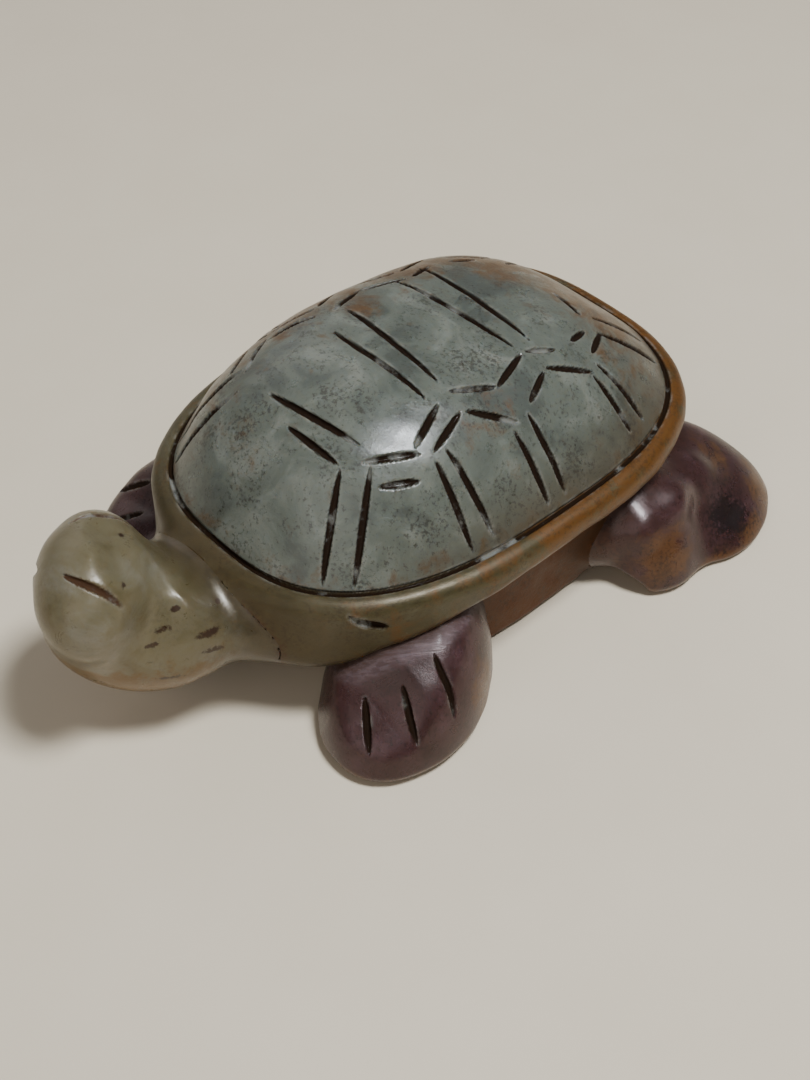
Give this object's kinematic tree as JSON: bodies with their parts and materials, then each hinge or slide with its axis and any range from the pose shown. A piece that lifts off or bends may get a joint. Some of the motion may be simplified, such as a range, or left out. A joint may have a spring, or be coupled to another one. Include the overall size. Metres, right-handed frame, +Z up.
{
  "type": "carved jade tortoise figurine",
  "caption": "Small carved jade tortoise with a domed, scute-cut shell, head raised and turned, feet flat on the ground.",
  "frame": {"origin": "bottom centre of the whole carving's bounding box, on the plane that the belly and feet rest on", "axes": "+Z up, from the ground face to the top of the shell; -Y towards the head; +X towards the animal's left"},
  "size_m": [0.0518, 0.0764, 0.0285],
  "materials": {
    "pale_jade": "waxy hand polish",
    "grey_green_jade": "waxy hand polish",
    "honey_brown_skin": "waxy hand polish",
    "dark_brown_skin": "waxy hand polish"
  },
  "bodies": {
    "root": {"carapace": "grey_green_jade", "shell_rim": "honey_brown_skin", "plastron": "honey_brown_skin", "head_and_neck": "pale_jade", "front_left_leg": "dark_brown_skin", "front_right_leg": "dark_brown_skin", "hind_left_leg": "dark_brown_skin", "hind_right_leg": "dark_brown_skin", "tail": "dark_brown_skin"}
  },
  "joints": []
}
